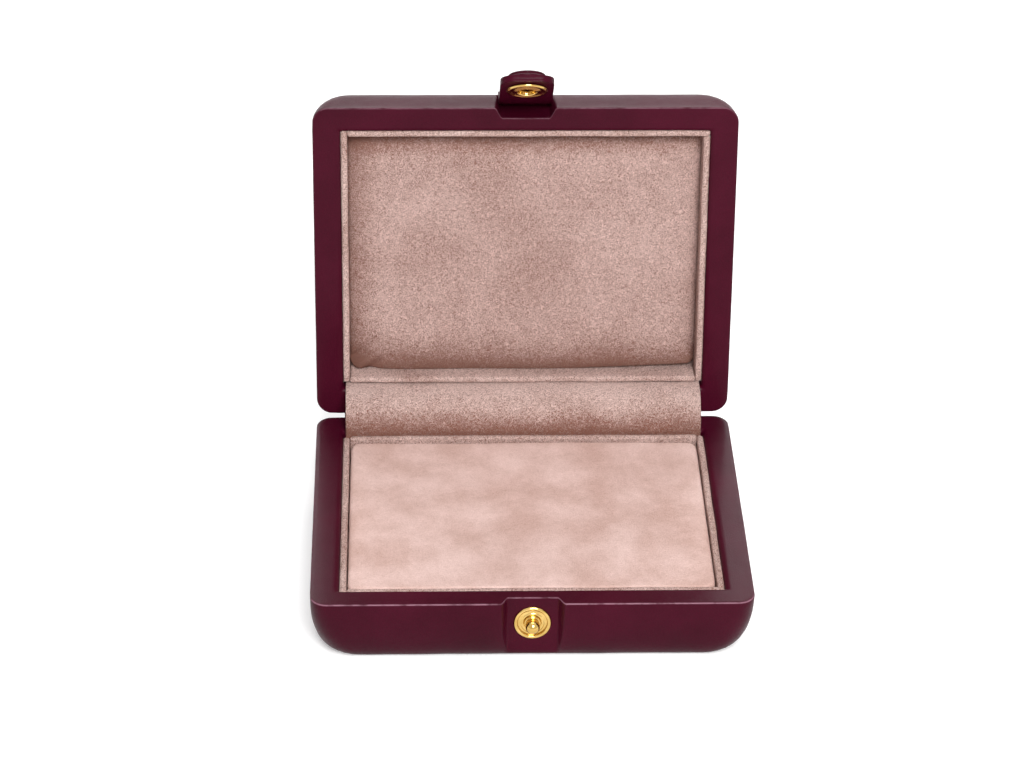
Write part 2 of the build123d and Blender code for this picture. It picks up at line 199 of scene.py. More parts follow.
def rounded_box(low, high, radius, step, fine_step=None):
    """Points and faces of a box with round edges, as a fine even grid."""
    low, high = np.array(low, float), np.array(high, float)
    fine_step = fine_step or radius / 4
    places = [spaced(low[a], high[a], radius, step, fine_step) for a in range(3)]
    index, points, faces = {}, [], []

    def corner(key):
        if key not in index:
            index[key] = len(points)
            points.append([places[a][key[a]] for a in range(3)])
        return index[key]

    for axis in range(3):
        u, v = [a for a in range(3) if a != axis]
        for end in (0, len(places[axis]) - 1):
            for i in range(len(places[u]) - 1):
                for j in range(len(places[v]) - 1):
                    keys = []
                    for di, dj in ((0, 0), (1, 0), (1, 1), (0, 1)):
                        key = [0, 0, 0]
                        key[axis], key[u], key[v] = end, i + di, j + dj
                        keys.append(corner(tuple(key)))
                    faces.append(tuple(keys))
    points = np.array(points)
    core = np.clip(points, low + radius, high - radius)
    away = points - core
    length = np.linalg.norm(away, axis=1, keepdims=True)
    length[length == 0] = 1
    return core + away / length * radius, faces


def points_of(piece):
    """A piece's points in millimetres."""
    flat = np.empty(len(piece.data.vertices) * 3)
    piece.data.vertices.foreach_get("co", flat)
    return flat.reshape(-1, 3) / MM


def painted_shading(piece, rule):
    """Paints shade onto a suede piece as a point attribute, and light where the attribute is negative, from a rule
    on points in millimetres.
    """
    layer = piece.data.attributes.new("painted_shading", "FLOAT", "POINT")
    layer.data.foreach_set("value", rule(points_of(piece)))


# Shader groups

PEBBLE_SCALE = 1500.0


def new_group(name, inputs, outputs):
    """An empty shader node group with named sockets."""
    group = bpy.data.node_groups.new(name, "ShaderNodeTree")
    for socket, kind, value in inputs:
        made = group.interface.new_socket(socket, in_out="INPUT", socket_type=kind)
        if value is not None:
            made.default_value = value
    for socket, kind in outputs:
        group.interface.new_socket(socket, in_out="OUTPUT", socket_type=kind)
    return group, group.nodes.new("NodeGroupInput"), group.nodes.new("NodeGroupOutput")


def math_node(nodes, links, operation, a, b):
    """A math node with each input a socket or a number."""
    node = nodes.new("ShaderNodeMath")
    node.operation = operation
    for slot, value in enumerate((a, b)):
        if isinstance(value, (int, float)):
            node.inputs[slot].default_value = value
        else:
            links.new(value, node.inputs[slot])
    return node.outputs[0]


def vector_node(nodes, links, operation, a, b):
    """A vector math node on two sockets."""
    node = nodes.new("ShaderNodeVectorMath")
    node.operation = operation
    links.new(a, node.inputs[0])
    links.new(b, node.inputs[1])
    return node.outputs[0]


def noise_node(nodes, links, vector, scale, detail, roughness=0.5, distortion=0.0):
    """A noise texture's value."""
    node = nodes.new("ShaderNodeTexNoise")
    links.new(vector, node.inputs["Vector"])
    node.inputs["Detail"].default_value = detail
    node.inputs["Roughness"].default_value = roughness
    node.inputs["Distortion"].default_value = distortion
    if isinstance(scale, (int, float)):
        node.inputs["Scale"].default_value = scale
    else:
        links.new(scale, node.inputs["Scale"])
    return node.outputs["Fac"]


def stretch(nodes, links, value, low, high):
    """A value between low and high spread over 0 to 1."""
    node = nodes.new("ShaderNodeMapRange")
    links.new(value, node.inputs["Value"])
    node.inputs["From Min"].default_value = low
    node.inputs["From Max"].default_value = high
    return node.outputs["Result"]


def leather_grain_group():
    """Fine pebbled grain: a height, and a shade that varies over the hide."""
    group, given, result = new_group(
        "leather_grain",
        [("Vector", "NodeSocketVector", None), ("Pebble Scale", "NodeSocketFloat", PEBBLE_SCALE)],
        [("Height", "NodeSocketFloat"), ("Shade", "NodeSocketFloat"), ("Gloss", "NodeSocketFloat")],
    )
    nodes, links = group.nodes, group.links
    vector = given.outputs["Vector"]
    pebbles = nodes.new("ShaderNodeTexVoronoi")
    pebbles.feature = "DISTANCE_TO_EDGE"
    warp = nodes.new("ShaderNodeTexNoise")
    warp.inputs["Scale"].default_value = 700.0
    links.new(vector, warp.inputs["Vector"])
    mixed = nodes.new("ShaderNodeMix")
    mixed.data_type = "VECTOR"
    mixed.inputs["Factor"].default_value = 0.0006
    links.new(vector, mixed.inputs["A"])
    links.new(warp.outputs["Color"], mixed.inputs["B"])
    links.new(mixed.outputs["Result"], pebbles.inputs["Vector"])
    links.new(given.outputs["Pebble Scale"], pebbles.inputs["Scale"])
    crease = stretch(nodes, links, pebbles.outputs["Distance"], 0.0, 0.22)
    pores = noise_node(nodes, links, vector, 2600.0, 2.0)
    folds = noise_node(nodes, links, vector, 240.0, 3.0)
    height = math_node(nodes, links, "MULTIPLY", crease, 0.6)
    height = math_node(nodes, links, "ADD", height, math_node(nodes, links, "MULTIPLY", pores, 0.5))
    height = math_node(nodes, links, "ADD", height, math_node(nodes, links, "MULTIPLY", folds, 0.9))
    hide = noise_node(nodes, links, vector, 38.0, 4.0, 0.6)
    shade = math_node(nodes, links, "MULTIPLY", stretch(nodes, links, hide, 0.3, 0.7), 0.75)
    shade = math_node(nodes, links, "ADD", shade, math_node(nodes, links, "MULTIPLY", crease, 0.25))
    links.new(height, result.inputs["Height"])
    links.new(shade, result.inputs["Shade"])
    links.new(stretch(nodes, links, folds, 0.2, 0.8), result.inputs["Gloss"])
    return group


def suede_nap_group():
    """Brushed nap: a height, a fine speckle and the soft clouds that a hand leaves."""
    group, given, result = new_group(
        "suede_nap",
        [("Vector", "NodeSocketVector", None), ("Cloud Scale", "NodeSocketFloat", 60.0),
         ("Cloud Amount", "NodeSocketFloat", 0.5)],
        [("Height", "NodeSocketFloat"), ("Shade", "NodeSocketFloat")],
    )
    nodes, links = group.nodes, group.links
    vector = given.outputs["Vector"]
    fibres = noise_node(nodes, links, vector, 2600.0, 3.0, 0.65, 0.6)
    tufts = noise_node(nodes, links, vector, 1500.0, 2.0, 0.6, 2.2)
    clouds = noise_node(nodes, links, vector, given.outputs["Cloud Scale"], 5.0, 0.6, 0.15)
    clouds = stretch(nodes, links, clouds, 0.36, 0.64)
    height = math_node(nodes, links, "ADD", math_node(nodes, links, "MULTIPLY", fibres, 0.4), tufts)
    speckle = stretch(nodes, links, tufts, 0.37, 0.58)
    cloud_part = math_node(nodes, links, "MULTIPLY", clouds, given.outputs["Cloud Amount"])
    fine_part = math_node(nodes, links, "SUBTRACT", 1.0, given.outputs["Cloud Amount"])
    fine_part = math_node(nodes, links, "MULTIPLY", fine_part, speckle)
    links.new(height, result.inputs["Height"])
    links.new(math_node(nodes, links, "ADD", cloud_part, fine_part), result.inputs["Shade"])
    return group


# Materials

def new_material(name):
    """An empty material with its shader, its nodes and its links."""
    material = bpy.data.materials.new(name)
    material.use_nodes = True
    nodes, links = material.node_tree.nodes, material.node_tree.links
    shader = nodes["Principled BSDF"]
    place = nodes.new("ShaderNodeTexCoord").outputs["Object"]
    return material, shader, nodes, links, place


def two_tone(nodes, links, factor, dark, light, socket):
    """A colour between dark and light by a factor."""
    mix = nodes.new("ShaderNodeMix")
    mix.data_type = "RGBA"
    mix.inputs["A"].default_value = (*dark, 1)
    mix.inputs["B"].default_value = (*light, 1)
    links.new(factor, mix.inputs["Factor"])
    links.new(mix.outputs["Result"], socket)


def bump(nodes, links, height, distance, strength, socket):
    """A bump of the given depth in metres."""
    node = nodes.new("ShaderNodeBump")
    node.inputs["Distance"].default_value = distance
    node.inputs["Strength"].default_value = strength
    links.new(height, node.inputs["Height"])
    links.new(node.outputs["Normal"], socket)


def leather_material(name, dark, light, roughness, grain):
    """Dyed, finely grained leather with a soft sheen, and a pale painted highlight along the rim's outer edge."""
    material, shader, nodes, links, place = new_material(name)
    group = nodes.new("ShaderNodeGroup")
    group.node_tree = GRAIN
    links.new(place, group.inputs["Vector"])
    # Painted highlight: a pale colour mixed in where a point attribute marks the rim's outer edge, broken up by
    # noise.
    highlight_attribute = nodes.new("ShaderNodeAttribute")
    highlight_attribute.attribute_name = "edge_highlight"
    patchy = stretch(nodes, links, noise_node(nodes, links, place, 260.0, 3.0), 0.30, 0.56)
    edge = math_node(nodes, links, "MULTIPLY", highlight_attribute.outputs["Fac"], patchy)
    highlighted = nodes.new("ShaderNodeMix")
    highlighted.data_type = "RGBA"
    highlighted.inputs["B"].default_value = (*EDGE_HIGHLIGHT_COLOUR, 1)
    links.new(math_node(nodes, links, "MULTIPLY", edge, EDGE_HIGHLIGHT_SHARE), highlighted.inputs["Factor"])
    two_tone(nodes, links, group.outputs["Shade"], dark, light, highlighted.inputs["A"])
    links.new(highlighted.outputs["Result"], shader.inputs["Base Color"])
    rough_part = math_node(nodes, links, "MULTIPLY", group.outputs["Gloss"], 0.12)
    links.new(math_node(nodes, links, "ADD", rough_part, roughness - 0.06), shader.inputs["Roughness"])
    shader.inputs["Specular IOR Level"].default_value = 0.035
    shader.inputs["Coat Weight"].default_value = 0.075
    shader.inputs["Coat Roughness"].default_value = 0.17
    bump(nodes, links, group.outputs["Height"], grain, 0.6, shader.inputs["Normal"])
    return material


def suede_material(name, dark, light, cloud_scale, cloud_amount, nap=0.0004):
    """Dusty rose suede with a nap, darkened where a point attribute paints shade and lightened where it paints
    light.
    """
    material, shader, nodes, links, place = new_material(name)
    group = nodes.new("ShaderNodeGroup")
    group.node_tree = NAP
    group.inputs["Cloud Scale"].default_value = cloud_scale
    group.inputs["Cloud Amount"].default_value = cloud_amount
    links.new(place, group.inputs["Vector"])
    # Painted light and shade: a point attribute, times a share, is taken off the nap's shade.
    shading_attribute = nodes.new("ShaderNodeAttribute")
    shading_attribute.attribute_name = "painted_shading"
    away = math_node(nodes, links, "MULTIPLY", shading_attribute.outputs["Fac"], PAINTED_SHADING_SHARE)
    shade = math_node(nodes, links, "SUBTRACT", group.outputs["Shade"], away)
    two_tone(nodes, links, shade, dark, light, shader.inputs["Base Color"])
    shader.inputs["Roughness"].default_value = 0.95
    shader.inputs["Specular IOR Level"].default_value = 0.05
    shader.inputs["Sheen Weight"].default_value = 0.03
    shader.inputs["Sheen Roughness"].default_value = 0.5
    shader.inputs["Sheen Tint"].default_value = (1.0, 0.85, 0.8, 1)
    bump(nodes, links, group.outputs["Height"], nap, 0.8, shader.inputs["Normal"])
    return material


def brass_material(name, dark, light, roughness):
    """Polished brass with faint turning and handling marks."""
    material, shader, nodes, links, place = new_material(name)
    marks = noise_node(nodes, links, place, 900.0, 4.0, 0.6)
    tarnish = stretch(nodes, links, noise_node(nodes, links, place, 160.0, 3.0, 0.6), 0.35, 0.65)
    two_tone(nodes, links, tarnish, dark, light, shader.inputs["Base Color"])
    shader.inputs["Metallic"].default_value = 1.0
    varied = math_node(nodes, links, "MULTIPLY", marks, 0.12)
    links.new(math_node(nodes, links, "ADD", varied, roughness - 0.06), shader.inputs["Roughness"])
    bump(nodes, links, marks, 0.00002, 0.4, shader.inputs["Normal"])
    return material


# Share of the painted light and shade on suede, and the colour and share of the painted highlight on the leather
# rim's edge.
PAINTED_SHADING_SHARE = 0.42
EDGE_HIGHLIGHT_COLOUR = (0.52, 0.27, 0.35)
EDGE_HIGHLIGHT_SHARE = 0.55
GRAIN = leather_grain_group()
NAP = suede_nap_group()
LEATHER_OUT = leather_material(
    "burgundy_leather", (0.035, 0.0014, 0.0075), (0.058, 0.0030, 0.0135), roughness=0.40, grain=0.00006)
LEATHER_EDGE = leather_material(
    "burgundy_cut_edge", (0.035, 0.003, 0.008), (0.055, 0.005, 0.013), roughness=0.55, grain=0.00008)
# The pad, cushion and liner suede differ in clouds and nap depth, and in tone as well. The cushion and liner are
# written lighter than the pad so that they come out as bright under less light, which is painted light.
SUEDE_PAD = suede_material(
    "rose_suede_pad", (0.55, 0.345, 0.290), (0.83, 0.610, 0.560), 62.0, 0.62, nap=0.0005)
SUEDE_CUSHION = suede_material(
    "rose_suede_cushion", (0.34, 0.165, 0.125), (0.96, 0.690, 0.630), 42.0, 0.25, nap=0.0026)
SUEDE_LINER = suede_material(
    "rose_suede_liner", (0.33, 0.145, 0.105), (1.00, 0.745, 0.680), 60.0, 0.25, nap=0.0022)
# Dark colour of the seam dashes: painted shade for the gaps between the rear liner and the gusset.
SEAM_SHADE = suede_material("seam_gap_shade", (0.20, 0.10, 0.08), (0.34, 0.19, 0.16), 200.0, 0.3)
BRASS = brass_material("brass", (0.58, 0.37, 0.10), (0.76, 0.52, 0.19), roughness=0.14)
CARD = suede_material("grey_board", (0.30, 0.27, 0.23), (0.40, 0.36, 0.30), 90.0, 0.5)
WOOD = suede_material("core_wood", (0.36, 0.24, 0.13), (0.48, 0.34, 0.20), 30.0, 0.7)
FOAM = suede_material("foam", (0.55, 0.52, 0.42), (0.70, 0.67, 0.56), 50.0, 0.3)


# Leather covers

def front_places(reach):
    """Places along the front wall, close together at the sides of the recess."""
    beside = np.linspace(RECESS_FLAT - 0.4, RECESS_MOUTH + 0.4, 18)
    outer = np.linspace(RECESS_MOUTH + 1.6, reach, 22)
    inner = np.linspace(0, RECESS_FLAT - 1.0, 6)
    half = np.concatenate([inner, beside, outer])
    return np.concatenate([-half[::-1][:-1], half])


def wall_ring(half_x, front, rear, corner, depth):
    """One ring round a half, at one depth below the rim."""
    corner = max(corner, 0.05)
    xs = front_places(half_x - corner)
    ys = np.linspace(front + corner, rear - corner, 48)
    back = np.linspace(half_x - corner, corner - half_x, 60)
    points = [(x, front) for x in xs]
    sweeps = (
        (half_x - corner, front + corner, -90),
        (half_x - corner, rear - corner, 0),
        (corner - half_x, rear - corner, 90),
        (corner - half_x, front + corner, 180),
    )
    straights = (
        [(half_x, y) for y in ys[1:-1]],
        [(x, rear) for x in back[1:-1]],
        [(-half_x, y) for y in ys[::-1][1:-1]],
        [],
    )
    for (cx, cy, start), straight in zip(sweeps, straights):
        closing = start == 180
        for step in range(1, CORNER_STEPS if closing else CORNER_STEPS + 1):
            angle = math.radians(start + 90 * step / CORNER_STEPS)
            points.append((cx + corner * math.cos(angle), cy + corner * math.sin(angle)))
        points += straight
    flat = np.array(points)
    return np.column_stack([flat, np.full(len(flat), -depth)])


def recess_floor(x, sunk):
    """How far back the front wall stands at x, with the recess's round sides."""
    side = np.clip((RECESS_MOUTH - np.abs(x)) / (RECESS_MOUTH - RECESS_FLAT), 0, 1)
    return FRONT + sunk + RECESS_DEPTH * side * side * (3 - 2 * side)


def with_recess(ring, sunk):
    """A ring with the tab's recess pressed into its front."""
    ring = ring.copy()
    front_part = (ring[:, 1] < 0) & (np.abs(ring[:, 0]) < RECESS_MOUTH)
    x, y = ring[front_part, 0], ring[front_part, 1]
    floor = recess_floor(x, sunk)
    moved = 0.5 * (y + floor + np.sqrt((y - floor) ** 2 + RECESS_SOFT ** 2) - RECESS_SOFT)
    ring[front_part, 1] = np.maximum(moved, y)
    return ring


def outer_corner(depth, inset):
    """The radius of a half's upright corners at a depth below the rim."""
    share = min(1.0, max(0.0, depth / HALF_HEIGHT))
    return RIM_CORNER + (UNDERSIDE_CORNER - RIM_CORNER) * share - inset


def outside_ring(drawn_in, depth, inset):
    """A ring on the outside of a half, or inset beneath it."""
    total = drawn_in + inset
    corner = outer_corner(depth, inset) + 0.2 * max(0.0, drawn_in - UNDERSIDE_INSET)
    corner = min(corner, 0.9 * (REAR - total))
    ring = wall_ring(HALF_WIDTH - total, FRONT + total, REAR - total, corner, depth)
    return with_recess(ring, inset)


def outside_path(inset):
    """(drawn in, depth) from the middle of the underside up to just below the rim."""
    path = [(drawn_in, HALF_HEIGHT - inset) for drawn_in in (44.0, 30.0, 18.0, 10.0)]
    height = HALF_HEIGHT - inset - UPRIGHT_WALL
    for step in range(0, 15):
        angle = math.pi / 2 * (1 - step / 14)
        path.append((UNDERSIDE_INSET * (1 - math.cos(angle)), UPRIGHT_WALL + height * math.sin(angle)))
    return path


def opening_ring(grown, depth, corner=OPENING_CORNER):
    """A ring round a half's opening, or outside it by grown."""
    return wall_ring(OPENING_X + grown, OPENING_FRONT - grown, OPENING_REAR + grown, corner, depth)


def half_cover_rings():
    """The leather of one half: up the outside, over the rim, down inside, and back underneath."""
    rings = [outside_ring(drawn_in, depth, 0.0) for drawn_in, depth in outside_path(0.0)]
    for step in range(0, 6):
        angle = math.pi / 2 * step / 5
        inset = RIM_EDGE * (1 - math.cos(angle))
        ring = wall_ring(HALF_WIDTH - inset, FRONT + inset, REAR - 0.3 * inset, RIM_CORNER - inset,
                         RIM_EDGE * (1 - math.sin(angle)))
        rings.append(with_recess(ring, inset))
    start = rings[-1]
    end = opening_ring(RIM_INNER_EDGE, 0.0)
    for share in (0.15, 0.3, 0.45, 0.6, 0.75, 0.9, 1.0):
        rings.append(start + (end - start) * share)
    for step in range(1, 8):
        angle = math.pi / 2 * step / 7
        grown = RIM_INNER_EDGE * (1 - math.sin(angle))
        rings.append(opening_ring(grown, RIM_INNER_EDGE * (1 - math.cos(angle))))
    for depth in (3.0, 5.0, TURN_IN):
        rings.append(opening_ring(0.0, depth))
    behind = OPENING_CORNER + LEATHER
    turn = RIM_INNER_EDGE + 0.4
    for grown, depth in ((LEATHER, TURN_IN), (LEATHER, turn), (turn, LEATHER)):
        rings.append(opening_ring(grown, depth, behind))
    under = outside_path(LEATHER)[::-1]
    first = outside_ring(0.0, LEATHER + 0.3, LEATHER)
    rings.append(first * (1, 1, 0) + (0, 0, -LEATHER - 0.05))
    rings += [outside_ring(drawn_in, depth, LEATHER) for drawn_in, depth in under]
    return rings


# The painted highlight along the rim's outer edge: how many rings wide it is, and how strong it is on the lid.
RIM_HIGHLIGHT_RINGS = 2.3
LID_HIGHLIGHT = 0.4


def rim_highlight(points, ring, half):
    """How strong the painted highlight is: most along the rim's outer edge, at the front of the base, and weaker
    on the lid.
    """
    rim_edge = len(outside_path(0.0)) + 2.5
    near_edge = np.clip(1 - np.abs(ring - rim_edge) / RIM_HIGHLIGHT_RINGS, 0, 1)
    towards_front = np.clip((FRONT + 6 - points[:, 1]) / 4, 0.3, 1)
    return near_edge * towards_front * (1.0 if half == "base" else LID_HIGHLIGHT)


def leather_cover(half):
    """One half's leather, slightly uneven, with a painted highlight along its rim."""
    rings = half_cover_rings()
    points, faces = skin_rings(rings)
    uneven = rough(points, 14.0, 0.10, 3 if half == "base" else 8) + rough(points, 5.0, 0.03, 5)
    out = points * (1 / HALF_WIDTH, 1 / REAR, 1 / HALF_HEIGHT)
    away = out / np.linalg.norm(out, axis=1, keepdims=True)
    calm = np.clip(-points[:, 2] / 3, 0.35, 1)
    points = points + away * (uneven * calm)[:, None]
    points[:, 2] = np.clip(points[:, 2], -HALF_HEIGHT, 0.05)
    edge_highlight = rim_highlight(points, np.arange(len(points)) // len(rings[0]), half)
    piece = make_piece(f"leather_{half}", HALVES[half](points), faces, LEATHER_OUT, half, edge_highlight)
    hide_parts(f"{half}_leather_cover")


for half in HALVES:
    leather_cover(half)


# Liners

REAR_LINER_RISE = 0.5
LINER_EDGE = 0.85


def liner(half, side):
    """One suede-covered strip, a little uneven along its top."""
    low, high = node_box(f"base_liner_{side}_suede")
    low, high = low - (0, 0, HALF_HEIGHT), high - (0, 0, HALF_HEIGHT)
    if side == "rear":
        high[2] += REAR_LINER_RISE
    points, faces = rounded_box(low, high, LINER_EDGE, 3.0)
    top = np.clip((points[:, 2] - low[2]) / (high[2] - low[2]), 0, 1)
    points[:, 2] += top * rough(points, 22.0, 0.28, 11 + len(side))
    across = 1 if side in ("front", "rear") else 0
    points[:, across] += top ** 3 * rough(points, 16.0, 0.16, 21 + len(side))
    piece = make_piece(f"liner_{half}_{side}", HALVES[half](points), faces, SUEDE_LINER, half)
    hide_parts(f"{half}_liner_{side}_suede")


for half in HALVES:
    for side in ("front", "rear", "left", "right"):
        liner(half, side)


# Pad and cushion

PAD_CORNER = 3.4
PAD_EDGE = 1.4
PAD_CROWN = 0.45
CUSHION_GROWTH = 0.45
CUSHION_CORNER = 2.0
CUSHION_TOP_DROP = 4.6
CUSHION_SIDE_DROP = 9.5
CUSHION_UPPER_DROP = 13.0
CUSHION_LOWER_DROP = 6.8
CUSHION_SIDE_ROLL = 9.0
CUSHION_UPPER_ROLL = 8.0
CUSHION_LOWER_ROLL = 7.5
CUSHION_HOLLOW = 1.3
SLUMP_UP = 13.0
SLUMP_REACH = 12.0
TUCK_REACH = 17.0
TUCK_RIDGE = 1.3
TUCK_VALLEY = 1.5
# Painted shade on the cushion: how much, and where it starts, low down, at the left and at the top.
DARK_LOW, DARK_LOW_BELOW = 1.7, 50.0
DARK_LEFT, DARK_LEFT_OF = 1.1, -44.0
DARK_TOP, DARK_TOP_REACH = 1.2, 8.0


def crown(points, low, high, power):
    """1 in the middle of a pad and 0 at its edges."""
    u = np.abs(2 * (points[:, 0] - low[0]) / (high[0] - low[0]) - 1)
    v = np.abs(2 * (points[:, 1] - low[1]) / (high[1] - low[1]) - 1)
    return np.clip(1 - u ** power, 0, 1) * np.clip(1 - v ** power, 0, 1)


def round_corners(points, low, high, radius):
    """Points of a box drawn in so that its corners are round as seen from above."""
    middle, half = (low[:2] + high[:2]) / 2, (high[:2] - low[:2]) / 2
    away = points[:, :2] - middle
    past = np.maximum(np.abs(away) - (half - radius), 0)
    far = np.linalg.norm(past, axis=1)
    share = np.where(far > 0, past.max(axis=1) / np.where(far > 0, far, 1), 1)
    drawn = np.minimum(np.abs(away), half - radius) + past * share[:, None]
    points = points.copy()
    points[:, :2] = middle + np.sign(away) * drawn
    return points


def roll_off(distance, width):
    """A quarter round: 0 at an edge, 1 from width onwards."""
    t = np.clip(distance / width, 0, 1)
    return np.sqrt(np.clip(1 - (1 - t) ** 2, 0, 1))


def base_pad():
    """The flat pad in the base, with a low crown."""
    low, high = node_box("base_pad_suede")
    low, high = low - (0, 0, HALF_HEIGHT), high - (0, 0, HALF_HEIGHT)
    points, faces = rounded_box(low, high - (0, 0, PAD_CROWN), PAD_EDGE, 2.0)
    points = round_corners(points, low, high, PAD_CORNER)
    top = np.clip((points[:, 2] - low[2]) / (high[2] - low[2]), 0, 1)
    points[:, 2] += top * (PAD_CROWN * crown(points, low, high, 3.0) + rough(points, 17.0, 0.25, 31))
    piece = make_piece("base_pad", in_base(points), faces, SUEDE_PAD, "base")
    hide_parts("base_pad_suede", "base_pad_foam")


def cushion_depth(x, y, low, high):
    """How deep the cushion's face lies: fullest low down, rolled at its edges, tucked at a corner."""
    sides = roll_off(x - low[0], CUSHION_SIDE_ROLL) * roll_off(high[0] - x, CUSHION_SIDE_ROLL)
    upper = roll_off(y - low[1], CUSHION_UPPER_ROLL)
    lower = roll_off(high[1] - y, CUSHION_LOWER_ROLL)
    slump = np.exp(-((y - high[1] + SLUMP_UP) / SLUMP_REACH) ** 2)
    depth = CUSHION_TOP_DROP + CUSHION_HOLLOW * (1 - slump)
    at_sides = depth + (CUSHION_SIDE_DROP - depth) * (1 - sides)
    at_upper = depth + (CUSHION_UPPER_DROP - depth) * (1 - upper)
    depth = np.maximum(at_sides, at_upper)
    depth = np.maximum(depth, depth + (CUSHION_LOWER_DROP - depth) * (1 - lower))
    along = (x - low[0] + high[1] - y) / math.sqrt(2)
    across = (x - low[0] - high[1] + y - 2.5) / math.sqrt(2)
    fade = np.clip((TUCK_REACH - along) / 10, 0, 1) * np.clip(along / 3, 0, 1)
    ridge = np.exp(-(across / 1.3) ** 2)
    valley = np.exp(-((across + 3.2) / 1.5) ** 2) + 0.7 * np.exp(-((across - 2.9) / 1.2) ** 2)
    return depth + fade * (TUCK_VALLEY * valley - TUCK_RIDGE * ridge)


def lower_edge_rise(x):
    """How far the cushion's lower edge is drawn up at x: most at the right."""
    right = 1.5 * np.clip((x - 4) / 48, 0, 1) ** 1.5
    left = 0.8 * np.clip((-x - 36) / 18, 0, 1) ** 2
    return right + left


def cushion_shade(points):
    """Painted shade: darker low down, at the left, and where the top goes under its liner, where shade falls."""
    low_down = np.clip((DARK_LOW_BELOW - points[:, 2]) / 14, 0, 1) ** 2
    left = np.clip((DARK_LEFT_OF - points[:, 0]) / 12, 0, 1)
    top = np.clip((points[:, 2] - points[:, 2].max() + DARK_TOP_REACH) / 6.0, 0, 1)
    return DARK_LOW * low_down + DARK_LEFT * left + DARK_TOP * top


def lid_cushion():
    """The pillow in the lid."""
    base_low, base_high = node_box("base_pad_suede")
    reach = np.array([CUSHION_GROWTH, CUSHION_GROWTH, 0])
    low = np.array([base_low[0], base_low[1], -FLOOR_DEPTH]) - reach
    high = np.array([base_high[0], base_high[1], -CUSHION_TOP_DROP]) + reach
    points, faces = rounded_box(low, high, 0.5, 1.0, 0.25)
    points = round_corners(points, low, high, CUSHION_CORNER)
    depth = cushion_depth(points[:, 0], points[:, 1], low, high)
    share = np.clip((points[:, 2] - low[2]) / (high[2] - low[2]), 0, 1)
    uneven = rough(points, 24.0, 0.5, 41) + rough(points, 9.0, 0.16, 43)
    points[:, 2] = low[2] + share * (FLOOR_DEPTH - depth + uneven * share)
    points[:, 1] -= lower_edge_rise(points[:, 0]) * np.clip((points[:, 1] + 10) / (high[1] + 10), 0, 1)
    piece = make_piece("lid_cushion", in_lid(points), faces, SUEDE_CUSHION, "lid")
    painted_shading(piece, cushion_shade)
    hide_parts("lid_cushion_suede", "lid_cushion_foam")


base_pad()
lid_cushion()


# Strips and turned pieces, made by geometry nodes from a line of points

def line_object(name, points, widths=None):
    """A chain of points in metres, with a half width at each."""
    mesh = bpy.data.meshes.new(name)
    mesh.from_pydata([tuple(p) for p in points], [(i, i + 1) for i in range(len(points) - 1)], [])
    layer = mesh.attributes.new("half_width", "FLOAT", "POINT")
    layer.data.foreach_set("value", [1.0] * len(points) if widths is None else list(widths))
    line = bpy.data.objects.new(name, mesh)
    scene.collection.objects.link(line)
    return line


def new_tree(name, inputs):
    """An empty geometry tree with a line and more named inputs."""
    tree = bpy.data.node_groups.new(name, "GeometryNodeTree")
    tree.interface.new_socket("Line", in_out="INPUT", socket_type="NodeSocketGeometry")
    for socket, kind, value in inputs:
        made = tree.interface.new_socket(socket, in_out="INPUT", socket_type=kind)
        if value is not None:
            made.default_value = value
    tree.interface.new_socket("Geometry", in_out="OUTPUT", socket_type="NodeSocketGeometry")
    return tree, tree.nodes.new("NodeGroupInput"), tree.nodes.new("NodeGroupOutput")


def grid_over_line(tree, given):
    """A grid whose rows are the line's points, with the place across it and each row's point and width."""
    nodes, links = tree.nodes, tree.links
    size = nodes.new("GeometryNodeAttributeDomainSize")
    links.new(given.outputs["Line"], size.inputs["Geometry"])
    grid = nodes.new("GeometryNodeMeshGrid")
    grid.inputs["Size X"].default_value = 2.0
    grid.inputs["Size Y"].default_value = 1.0
    links.new(given.outputs["Columns"], grid.inputs["Vertices X"])
    links.new(size.outputs["Point Count"], grid.inputs["Vertices Y"])
    place = nodes.new("ShaderNodeSeparateXYZ")
    links.new(nodes.new("GeometryNodeInputPosition").outputs[0], place.inputs[0])
    last = math_node(nodes, links, "SUBTRACT", size.outputs["Point Count"], 1.0)
    row = math_node(nodes, links, "MULTIPLY", math_node(nodes, links, "ADD", place.outputs["Y"], 0.5), last)
    whole = nodes.new("FunctionNodeFloatToInt")
    whole.rounding_mode = "ROUND"
    links.new(row, whole.inputs[0])
    samples = []
    width = nodes.new("GeometryNodeInputNamedAttribute")
    width.data_type = "FLOAT"
    width.inputs["Name"].default_value = "half_width"
    for kind, value in (("FLOAT_VECTOR", nodes.new("GeometryNodeInputPosition").outputs[0]),
                        ("FLOAT", width.outputs["Attribute"])):
        sample = nodes.new("GeometryNodeSampleIndex")
        sample.data_type = kind
        links.new(given.outputs["Line"], sample.inputs["Geometry"])
        links.new(value, sample.inputs["Value"])
        links.new(whole.outputs[0], sample.inputs["Index"])
        samples.append(sample.outputs["Value"])
    return grid.outputs["Mesh"], place.outputs["X"], samples[0], samples[1]


def realized(tree, given, result, geometry):
    """Ends a tree: its instances become a mesh with the given material."""
    realize = tree.nodes.new("GeometryNodeRealizeInstances")
    finish = tree.nodes.new("GeometryNodeSetMaterial")
    tree.links.new(geometry, realize.inputs[0])
    tree.links.new(realize.outputs[0], finish.inputs["Geometry"])
    tree.links.new(given.outputs["Material"], finish.inputs["Material"])
    tree.links.new(finish.outputs[0], result.inputs[0])


def finish_tree(tree, given, result, mesh, position):
    """Places the grid, merges what meets and sends it on to be finished."""
    nodes, links = tree.nodes, tree.links
    move = nodes.new("GeometryNodeSetPosition")
    links.new(mesh, move.inputs["Geometry"])
    links.new(position, move.inputs["Position"])
    merge = nodes.new("GeometryNodeMergeByDistance")
    merge.inputs["Distance"].default_value = 0.000005
    links.new(move.outputs[0], merge.inputs["Geometry"])
    realized(tree, given, result, merge.outputs[0])


